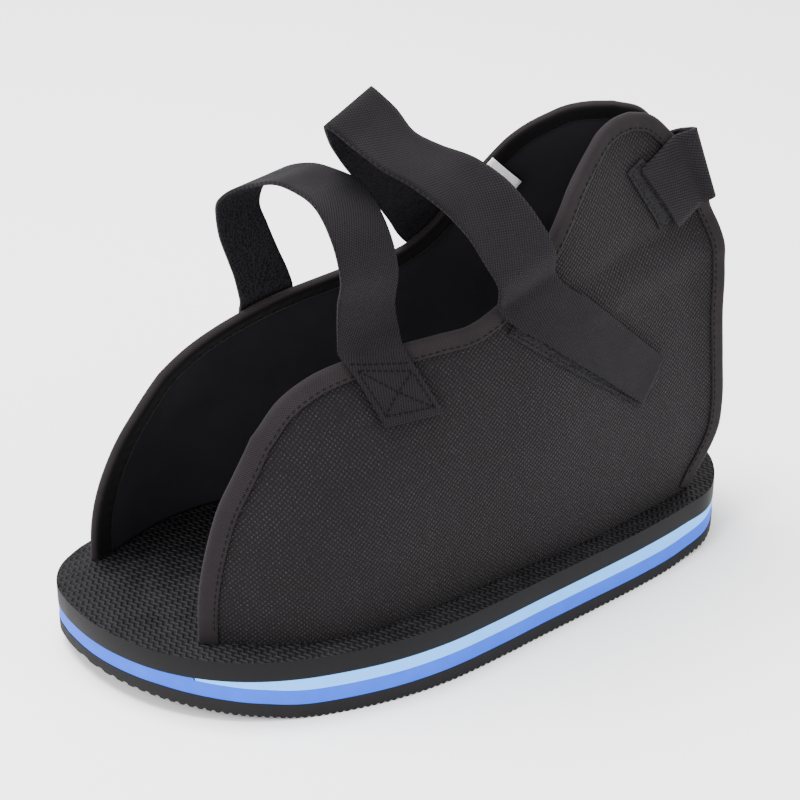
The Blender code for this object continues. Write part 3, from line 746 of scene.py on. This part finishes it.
def weave_finish(name, dark, light, pitch, skew, depth, sheen, fuzz=0.3, inner=None):
    """A woven tape: yarns along and across in the cloth's own metres, set off to form a fine twill.

    Past the distance inner from its first border, the tape's colour darkens: painted shade on its inner arm,
    which faces away from the light.
    """
    finish, nodes, links, shader, where = finish_base(name, dark, 0.80)
    shader.inputs["Specular IOR Level"].default_value = 0.10
    shader.inputs["Sheen Weight"].default_value = sheen
    shader.inputs["Sheen Roughness"].default_value = 0.4
    cloth = nodes.new("ShaderNodeUVMap")
    cloth.uv_map = "cloth"
    split = nodes.new("ShaderNodeSeparateXYZ")
    links.new(cloth.outputs[0], split.inputs[0])
    across = node_math(nodes, links, "MULTIPLY", split.outputs["Y"], 2 * math.pi / pitch)
    along = node_math(nodes, links, "MULTIPLY", split.outputs["X"], 2 * math.pi / (pitch * 1.15))
    rib = node_math(nodes, links, "SINE", node_plus(nodes, links, across, along, skew))
    pick = node_math(nodes, links, "SINE", node_plus(nodes, links, along, across, -0.5))
    weave = node_range(nodes, links, node_plus(nodes, links, rib, pick, 0.6), -1.6, 1.6, 0.0, 1.0)
    fibres = node_noise(nodes, links, where, 2200.0, 3.0, 0.6)
    cloud = node_noise(nodes, links, where, 60.0, 4.0)
    tone = node_plus(nodes, links, node_math(nodes, links, "MULTIPLY", weave, 0.6), fibres, fuzz)
    tone = node_plus(nodes, links, tone, cloud, 0.3)
    # Painted shade: past the distance inner, on the tape's inner arm, its colour is darkened.
    if inner:
        painted_inner_shade = node_range(nodes, links, split.outputs["Y"], inner, inner + 0.0015, 1.0, 0.1)
        tone = node_math(nodes, links, "MULTIPLY", tone, painted_inner_shade)
    node_colours(nodes, links, shader, tone, (0.25, dark), (0.95, light))
    node_bump(nodes, links, shader, node_plus(nodes, links, weave, fibres, 0.4), depth)
    return finish


tape_cloth = weave_finish("binding_tape", (0.0018, 0.0014, 0.0018), (0.0200, 0.0160, 0.0180),
                          pitch=0.0009, skew=1.0, depth=0.00006, sheen=0.04, inner=TAPE_PAINTED_SHADE_FROM)
thread_dark, nodes, links, shader, where = finish_base("binding_thread", (0.0007, 0.0006, 0.0008), 0.9)
rim_path = np.concatenate([front_rim, top_rim[1:], rear_rim[1:]])
rim_path = rim_path[rim_path[:, 1] > RIM_START]
rim_soft = rim_path.copy()
SOFTENINGS = 60
for _ in range(SOFTENINGS):
    rim_soft[1:-1] = 0.25 * rim_soft[:-2] + 0.5 * rim_soft[1:-1] + 0.25 * rim_soft[2:]
rim_run = np.gradient(rim_soft, axis=0)
rim_run /= np.linalg.norm(rim_run, axis=1)[:, None]
rim_in = np.stack([-rim_run[:, 1], rim_run[:, 0]], axis=1)
rim_walk = np.concatenate([[0.0], np.cumsum(np.linalg.norm(np.diff(rim_path, axis=0), axis=1))])


def rim_place(share, depth):
    """Along and up of a place: a share of the way along the free edge, and a depth in from it."""
    at = np.asarray(share) * rim_walk[-1]
    columns = np.concatenate([rim_path, rim_in], axis=1)
    line = np.stack([np.interp(at, rim_walk, columns[:, c]) for c in range(4)], axis=-1)
    place = line[..., :2] + np.asarray(depth)[..., None] * line[..., 2:]
    place[..., 1] = np.maximum(place[..., 1], RIM_START)
    return place


def tape_fold(hand):
    """Places of the folded tape: down its outer arm, round the cloth's edge and back up its inner arm."""
    bend = WALL / 2 + TAPE_OFF + TAPE_THICK / 2
    arm, turn = TAPE_WIDTH, math.pi * bend

    def place(u, v):
        if hand < 0:
            u = 1 - u
        walk = v * (2 * arm + turn)
        angle = np.clip((walk - arm) / bend, 0.0, math.pi)
        depth = np.where(walk > arm + turn, walk - arm - turn, -bend * np.sin(angle))
        depth = np.where(walk < arm, arm - walk, depth)
        depth = depth + TAPE_IN * np.clip(1.0 - depth / arm, 0.0, 1.0)
        lift = -WALL / 2 + bend * np.cos(angle)
        near_seam = np.exp(-(((depth - TAPE_WIDTH + PUCKER_IN) / PUCKER_OVER) ** 2))
        pucker = PUCKER * np.sin(u * rim_walk[-1] * PUCKER_TURNS) * near_seam
        flat = rim_place(u, depth)
        points = wing_point(flat[..., 0], flat[..., 1], lift - pucker * np.cos(angle))
        return points if hand > 0 else mirrored(points)

    return place


for hand, side in ((1, "left"), (-1, "right")):
    binding = grid_sheet("binding_tape_" + side, *TAPE_GRID, tape_fold(hand), TAPE_THICK,
                         (rim_walk[-1], TAPE_FLAT), tape_cloth)
    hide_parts("binding_" + side)
    outer_lift = TAPE_OFF + TAPE_THICK + SEAM_PROUD
    for face, lift in (("outer", outer_lift), ("inner", -WALL - outer_lift)):
        along_rim = np.linspace(SEAM_FROM, 1 - SEAM_FROM, SEAM_STEPS)
        flat = rim_place(along_rim, np.full(SEAM_STEPS, TAPE_WIDTH - SEAM_IN))
        low = wing_point(flat[:, 0], flat[:, 1], lift)
        high = wing_point(flat[:, 0], flat[:, 1], lift + math.copysign(NORMAL_STEP, lift))
        if hand < 0:
            low, high = mirrored(low), mirrored(high)
        thread_row("binding_stitches_" + face + "_" + side, low, high - low, SEAM_PITCH, SEAM_STITCH,
                   SEAM_THREAD, thread_dark)


# Straps: three bands of black twill webbing with looped pile on their inner face. The front one is sewn
# to the left wing in a crossed box and arches over the instep; the ankle one folds back over the ankle
# and closes on the left wing; the heel one passes behind the heel, a little clear of the wings.
STRAP_THICK = 0.0015
STRAP_LIFT = 0.0016
STRAP_FLAT = 0.026
STRAP_STATIONS = 240
STRAP_ACROSS = 13
PRESSED_OVER = 0.012
LOOP_SCALE = 900.0
LOOP_DEPTH = 0.0008
BOX_STEPS = 40
BOX_PITCH = 0.0024
BOX_STITCH = 0.0019
BOX_THREAD = 0.00032
BOX_PROUD = 0.0001
# Each row is a station: along, out and up of the strap's first border, then of its second. They are
# shares of the length, ball width and cuff height, and None means that the strap lies on the wing there.
FRONT_STRAP = (
    (0.028, None, 0.547, 0.110, None, 0.543),
    (0.054, None, 0.630, 0.140, None, 0.647),
    (0.068, None, 0.680, 0.151, None, 0.680),
    (0.069, 0.209, 0.721, 0.153, 0.194, 0.730),
    (0.071, 0.198, 0.759, 0.154, 0.203, 0.783),
    (0.073, 0.226, 0.849, 0.156, 0.234, 0.854),
    (0.077, 0.201, 0.907, 0.160, 0.209, 0.916),
    (0.081, 0.122, 0.954, 0.166, 0.129, 0.970),
    (0.088, 0.014, 0.976, 0.177, 0.036, 0.983),
    (0.110, -0.036, 0.988, 0.190, -0.022, 0.985),
    (0.123, -0.115, 0.978, 0.205, -0.108, 0.961),
    (0.143, -0.194, 0.952, 0.223, -0.187, 0.930),
    (0.160, -0.245, 0.918, 0.233, -0.230, 0.897),
    (0.163, -0.281, 0.864, 0.233, -0.239, 0.864),
    (0.153, -0.279, 0.816, 0.229, -0.243, 0.821),
    (0.140, -0.273, 0.761, 0.217, -0.247, 0.763),
    (0.127, -0.272, 0.713, 0.207, -0.252, 0.716),
    (0.118, None, 0.666, 0.201, None, 0.661),
    (0.110, None, 0.601, 0.193, None, 0.597),
    (0.102, None, 0.539, 0.185, None, 0.535),
)
ANKLE_STRAP = (
    (-0.227, None, 0.663, -0.173, None, 0.563),
    (-0.180, None, 0.732, -0.117, None, 0.635),
    (-0.133, None, 0.792, -0.056, None, 0.706),
    (-0.100, -0.223, 0.873, -0.018, -0.216, 0.784),
    (-0.060, -0.173, 0.942, 0.022, -0.158, 0.863),
    (-0.027, -0.129, 0.997, 0.058, -0.101, 0.928),
    (0.013, -0.079, 1.062, 0.096, -0.036, 1.002),
    (0.040, -0.043, 1.114, 0.123, 0.022, 1.063),
    (0.055, -0.002, 1.143, 0.137, 0.069, 1.109),
    (0.031, 0.027, 1.105, 0.112, 0.117, 1.075),
    (0.007, 0.060, 1.053, 0.079, 0.185, 1.033),
    (-0.020, 0.084, 1.029, 0.054, 0.204, 1.008),
    (-0.061, 0.157, 1.006, 0.015, 0.246, 0.956),
    (-0.086, 0.204, 0.977, -0.000, 0.252, 0.931),
    (-0.108, 0.247, 0.935, -0.022, 0.273, 0.886),
    (-0.126, 0.277, 0.890, -0.040, 0.291, 0.835),
    (-0.143, 0.291, 0.837, -0.058, 0.302, 0.783),
    (-0.152, None, 0.768, -0.069, None, 0.718),
    (-0.207, None, 0.687, -0.140, None, 0.623),
    (-0.277, None, 0.587, -0.223, None, 0.518),
    (-0.347, None, 0.492, -0.306, None, 0.411),
)
HEEL_STRAP = (
    (-0.322, None, 0.884, -0.389, None, 0.745),
    (-0.357, None, 0.904, -0.413, None, 0.763),
    (-0.388, None, 0.926, -0.433, None, 0.779),
    (-0.418, 0.079, 0.941, -0.449, 0.115, 0.794),
    (-0.432, 0.036, 0.929, -0.460, 0.050, 0.786),
    (-0.438, 0.000, 0.918, -0.467, 0.000, 0.774),
    (-0.443, -0.036, 0.906, -0.468, -0.043, 0.763),
    (-0.438, -0.072, 0.893, -0.472, -0.122, 0.751),
    (-0.395, None, 0.878, -0.433, None, 0.737),
    (-0.360, None, 0.856, -0.417, None, 0.716),
    (-0.310, None, 0.825, -0.377, None, 0.687),
)
webbing = weave_finish("strap_webbing", (0.0007, 0.0006, 0.0008), (0.0135, 0.0116, 0.0136),
                       pitch=0.00105, skew=0.5, depth=0.00030, sheen=0.02, fuzz=0.35)

pile, nodes, links, shader, where = finish_base("strap_pile", (0.0022, 0.0020, 0.0026), 0.95)
shader.inputs["Specular IOR Level"].default_value = 0.06
loops = nodes.new("ShaderNodeTexVoronoi")
loops.inputs["Scale"].default_value = LOOP_SCALE
links.new(where, loops.inputs["Vector"])
tufts = node_noise(nodes, links, where, 420.0, 5.0, 0.7)
curl = node_math(nodes, links, "ADD", loops.outputs["Distance"], tufts)
node_colours(nodes, links, shader, curl, (0.55, (0.0025, 0.0023, 0.0032)), (1.05, (0.0120, 0.0108, 0.0130)))
node_bump(nodes, links, shader, curl, LOOP_DEPTH)


def strap_places(table, hands):
    """The strap's middle surface as a grid of points, stations by places across, with its length."""
    rows = np.array([[np.nan if v is None else v for v in row] for row in table], float)
    rows *= np.array([LENGTH, BALL_WIDTH, CUFF_HEIGHT] * 2)
    lying = np.isnan(rows[:, 1])
    middle = len(rows) // 2
    mid_lift = STRAP_LIFT + STRAP_THICK / 2
    for i in np.where(lying)[0]:
        hand = hands[0] if i < middle else hands[1]
        for c in (0, 3):
            rows[i, c : c + 3] = on_wing(rows[i, c], rows[i, c + 2], mid_lift, hand)
    knots = np.concatenate([[0.0], np.cumsum(np.linalg.norm(np.diff(rows, axis=0), axis=1))])
    smooth = smooth_line(rows, np.ones(6), STRAP_STATIONS)
    walked = np.concatenate([[0.0], np.cumsum(np.linalg.norm(np.diff(smooth, axis=0), axis=1))])
    marks = knots / knots[-1] * walked[-1]
    share = np.linspace(0.0, 1.0, STRAP_ACROSS)[None, :, None]
    grid = smooth[:, None, :3] * (1 - share) + smooth[:, None, 3:] * share
    first = int(np.argmin(lying))
    last = len(lying) - 1 - int(np.argmin(lying[::-1]))
    ends = (marks[max(first - 1, 0)], marks[min(last + 1, len(marks) - 1)])
    for end, side, hand in ((ends[0], -1, hands[0]), (ends[1], 1, hands[1])):
        pressed = np.clip(0.5 + side * (walked - end) / PRESSED_OVER, 0.0, 1.0)[:, None, None]
        pressed = pressed * pressed * (3 - 2 * pressed)
        flat = on_wing(grid[..., 0], grid[..., 2], np.full(grid.shape[:2], mid_lift), hand)
        held = np.where(pressed > 0, flat, grid)
        grid = grid * (1 - pressed) + held * pressed
    middle_line = grid[:, STRAP_ACROSS // 2]
    length = np.linalg.norm(np.diff(middle_line, axis=0), axis=1).sum()
    return grid, length


def grid_reader(grid):
    """A function that reads a grid of points at shares along and across it."""
    stations, across = grid.shape[:2]

    def place(u, v):
        a = np.clip(np.asarray(u) * (stations - 1), 0, stations - 1 - 1e-9)
        b = np.clip(np.asarray(v) * (across - 1), 0, across - 1 - 1e-9)
        i, j = a.astype(int), b.astype(int)
        s, t = (a - i)[..., None], (b - j)[..., None]
        low = grid[i, j] * (1 - s) + grid[i + 1, j] * s
        return low * (1 - t) + (grid[i, j + 1] * (1 - s) + grid[i + 1, j + 1] * s) * t

    return place


for name, table, hands, node in (("front_strap", FRONT_STRAP, (1, -1), "strap_front"),
                                 ("ankle_strap", ANKLE_STRAP, (-1, 1), "strap_ankle"),
                                 ("heel_strap", HEEL_STRAP, (1, -1), "strap_heel")):
    grid, length = strap_places(table, hands)
    if hands[0] < 0 or name == "heel_strap":
        grid = grid[:, ::-1]
    strap = grid_sheet(name + "_webbing", STRAP_STATIONS - 1, STRAP_ACROSS - 1, grid_reader(grid),
                       STRAP_THICK, (length, STRAP_FLAT), webbing, pile)
    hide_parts(node)

    if name == "front_strap":
        near = grid_reader(grid)
        corners = ((0.018, 0.09), (0.098, 0.09), (0.098, 0.91), (0.018, 0.91))
        lines = [(corners[i], corners[(i + 1) % 4]) for i in range(4)]
        lines += [(corners[0], corners[2]), (corners[1], corners[3]), ((0.112, 0.06), (0.112, 0.94))]
        for number, (start, end) in enumerate(lines):
            t = np.linspace(0.0, 1.0, BOX_STEPS)
            u, v = start[0] + t * (end[0] - start[0]), start[1] + t * (end[1] - start[1])
            middle = near(u, v)
            flat = on_wing(middle[:, 0], middle[:, 2], np.zeros(BOX_STEPS), 1)
            out = on_wing(middle[:, 0], middle[:, 2], np.full(BOX_STEPS, NORMAL_STEP), 1) - flat
            out /= np.linalg.norm(out, axis=1)[:, None]
            seam = middle + out * (STRAP_THICK / 2 + BOX_PROUD)
            thread_row("front_strap_stitches_%d" % number, seam, out, BOX_PITCH, BOX_STITCH, BOX_THREAD,
                       thread_dark)


# Fastener pads: patches of looped pile sewn to the left wing with a stitched border. The ankle strap and
# the heel strap close on them, so that only their margins show.
PAD_THICK = 0.0008
PAD_LIFT = 0.0004
PAD_SEAM_IN = 0.0015
PAD_PITCH = 0.0026
PAD_STITCH = 0.0019
PAD_THREAD = 0.00022
PAD_LOOP_SCALE = 700.0
PAD_LOOP_DEPTH = 0.0009
PAD_GRID = (60, 16)
BORDER_STEPS = 120
pad_pile, nodes, links, shader, where = finish_base("pad_pile", (0.010, 0.0095, 0.0105), 0.95)
loops = nodes.new("ShaderNodeTexVoronoi")
loops.inputs["Scale"].default_value = PAD_LOOP_SCALE
links.new(where, loops.inputs["Vector"])
tufts = node_noise(nodes, links, where, 500.0, 5.0, 0.7)
curl = node_math(nodes, links, "ADD", loops.outputs["Distance"], tufts)
node_colours(nodes, links, shader, curl, (0.5, (0.0015, 0.0014, 0.0017)), (1.1, (0.0120, 0.0110, 0.0122)))
node_bump(nodes, links, shader, curl, PAD_LOOP_DEPTH)


def patch_places(corners, hand, lift, margin=0.0):
    """Places on a four-cornered patch on a wing, a margin in from its borders, with its width and height."""
    a, b, c, d = [np.array(p) for p in corners]
    width, height = np.linalg.norm(d - a), np.linalg.norm(b - a)

    def place(u, v):
        u = margin / width + np.asarray(u) * (1 - 2 * margin / width)
        v = margin / height + np.asarray(v) * (1 - 2 * margin / height)
        u, v = u[..., None], v[..., None]
        flat = (1 - u) * ((1 - v) * a + v * b) + u * ((1 - v) * d + v * c)
        points = wing_point(flat[..., 0], flat[..., 1], lift)
        return points if hand > 0 else mirrored(points)

    return place, (width, height)


def around(place):
    """A closed line round the border of a patch."""
    t = np.linspace(0.0, 1.0, BORDER_STEPS)
    zero, one = np.zeros(BORDER_STEPS), np.ones(BORDER_STEPS)
    sides = ((t, zero), (one, t), (1 - t, one), (zero, 1 - t))
    return np.concatenate([place(u, v) for u, v in sides])


# Corners as shares of the length and of the cuff's height.
PAD_ANKLE = (
    (-0.080, 0.666),
    (-0.312, 0.398),
    (-0.349, 0.464),
    (-0.118, 0.732),
)
PAD_HEEL = (
    (-0.302, 0.892),
    (-0.358, 0.756),
    (-0.383, 0.768),
    (-0.333, 0.907),
)
for node, table in (("pad_ankle", PAD_ANKLE), ("pad_heel", PAD_HEEL)):
    corners = np.array(table) * SIDE_SIZES
    place, size = patch_places(corners, 1, PAD_LIFT + PAD_THICK / 2)
    pad = grid_sheet(node + "_pile", *PAD_GRID, place, PAD_THICK, size, pad_pile)
    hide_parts(node)
    low = around(patch_places(corners, 1, PAD_LIFT + PAD_THICK, PAD_SEAM_IN)[0])
    high = around(patch_places(corners, 1, PAD_LIFT + PAD_THICK + NORMAL_STEP, PAD_SEAM_IN)[0])
    thread_row(node + "_stitches", low, high - low, PAD_PITCH, PAD_STITCH, PAD_THREAD, thread_dark)


# Label: a small white woven strip, left blank, sewn flat to the lining inside the right wing, a little
# below the tape of its top edge.
LABEL_THICK = 0.0005
LABEL_OFF = 0.0022
LABEL = (
    (-0.174, 0.886),
    (-0.220, 0.823),
    (-0.210, 0.802),
    (-0.163, 0.866),
)
label_cloth = weave_finish("label_white", (0.80, 0.80, 0.84), (1.0, 1.0, 1.0), pitch=0.0006, skew=1.0,
                           depth=0.00006, sheen=0.1)
place, size = patch_places(np.array(LABEL) * SIDE_SIZES, -1, -WALL - LABEL_OFF)
label = grid_sheet("label_strip", 20, 8, place, LABEL_THICK, size, label_cloth)
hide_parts("label")


# Floor and light: a plain pale floor and backdrop under a broad soft light from above, with weaker fills.
FLOOR_SIZE = 6.0
FLOOR_DROP = 0.0001
SKY_STRENGTH = 1.45
AIM = (0.0, 0.0, 0.1)
floor_mesh = bpy.data.meshes.new("floor")
bm = bmesh.new()
bmesh.ops.create_grid(bm, x_segments=1, y_segments=1, size=FLOOR_SIZE)
bm.to_mesh(floor_mesh)
bm.free()
floor_paint, nodes, links, shader, where = finish_base("floor_pale", (0.97, 0.97, 0.97), 0.9)
floor_mesh.materials.append(floor_paint)
floor = bpy.data.objects.new("floor", floor_mesh)
bpy.context.scene.collection.objects.link(floor)
floor.location.z = -FLOOR_DROP

world = bpy.data.worlds.new("studio")
world.use_nodes = True
world.node_tree.nodes["Background"].inputs["Color"].default_value = (1.0, 1.0, 1.0, 1.0)
world.node_tree.nodes["Background"].inputs["Strength"].default_value = SKY_STRENGTH
bpy.context.scene.world = world


def soft_light(name, place, size, power):
    data = bpy.data.lights.new(name, "AREA")
    data.shape = "DISK"
    data.size = size
    data.energy = power
    lamp = bpy.data.objects.new(name, data)
    bpy.context.scene.collection.objects.link(lamp)
    lamp.location = place
    lamp.rotation_euler = (Vector(place) - Vector(AIM)).to_track_quat("Z", "Y").to_euler()


soft_light("key_light", (0.3, -0.3, 1.5), 1.0, 60.0)
soft_light("fill_light", (1.1, 0.5, 0.8), 0.8, 14.0)
soft_light("side_light", (-0.9, 1.1, 0.9), 0.8, 14.0)
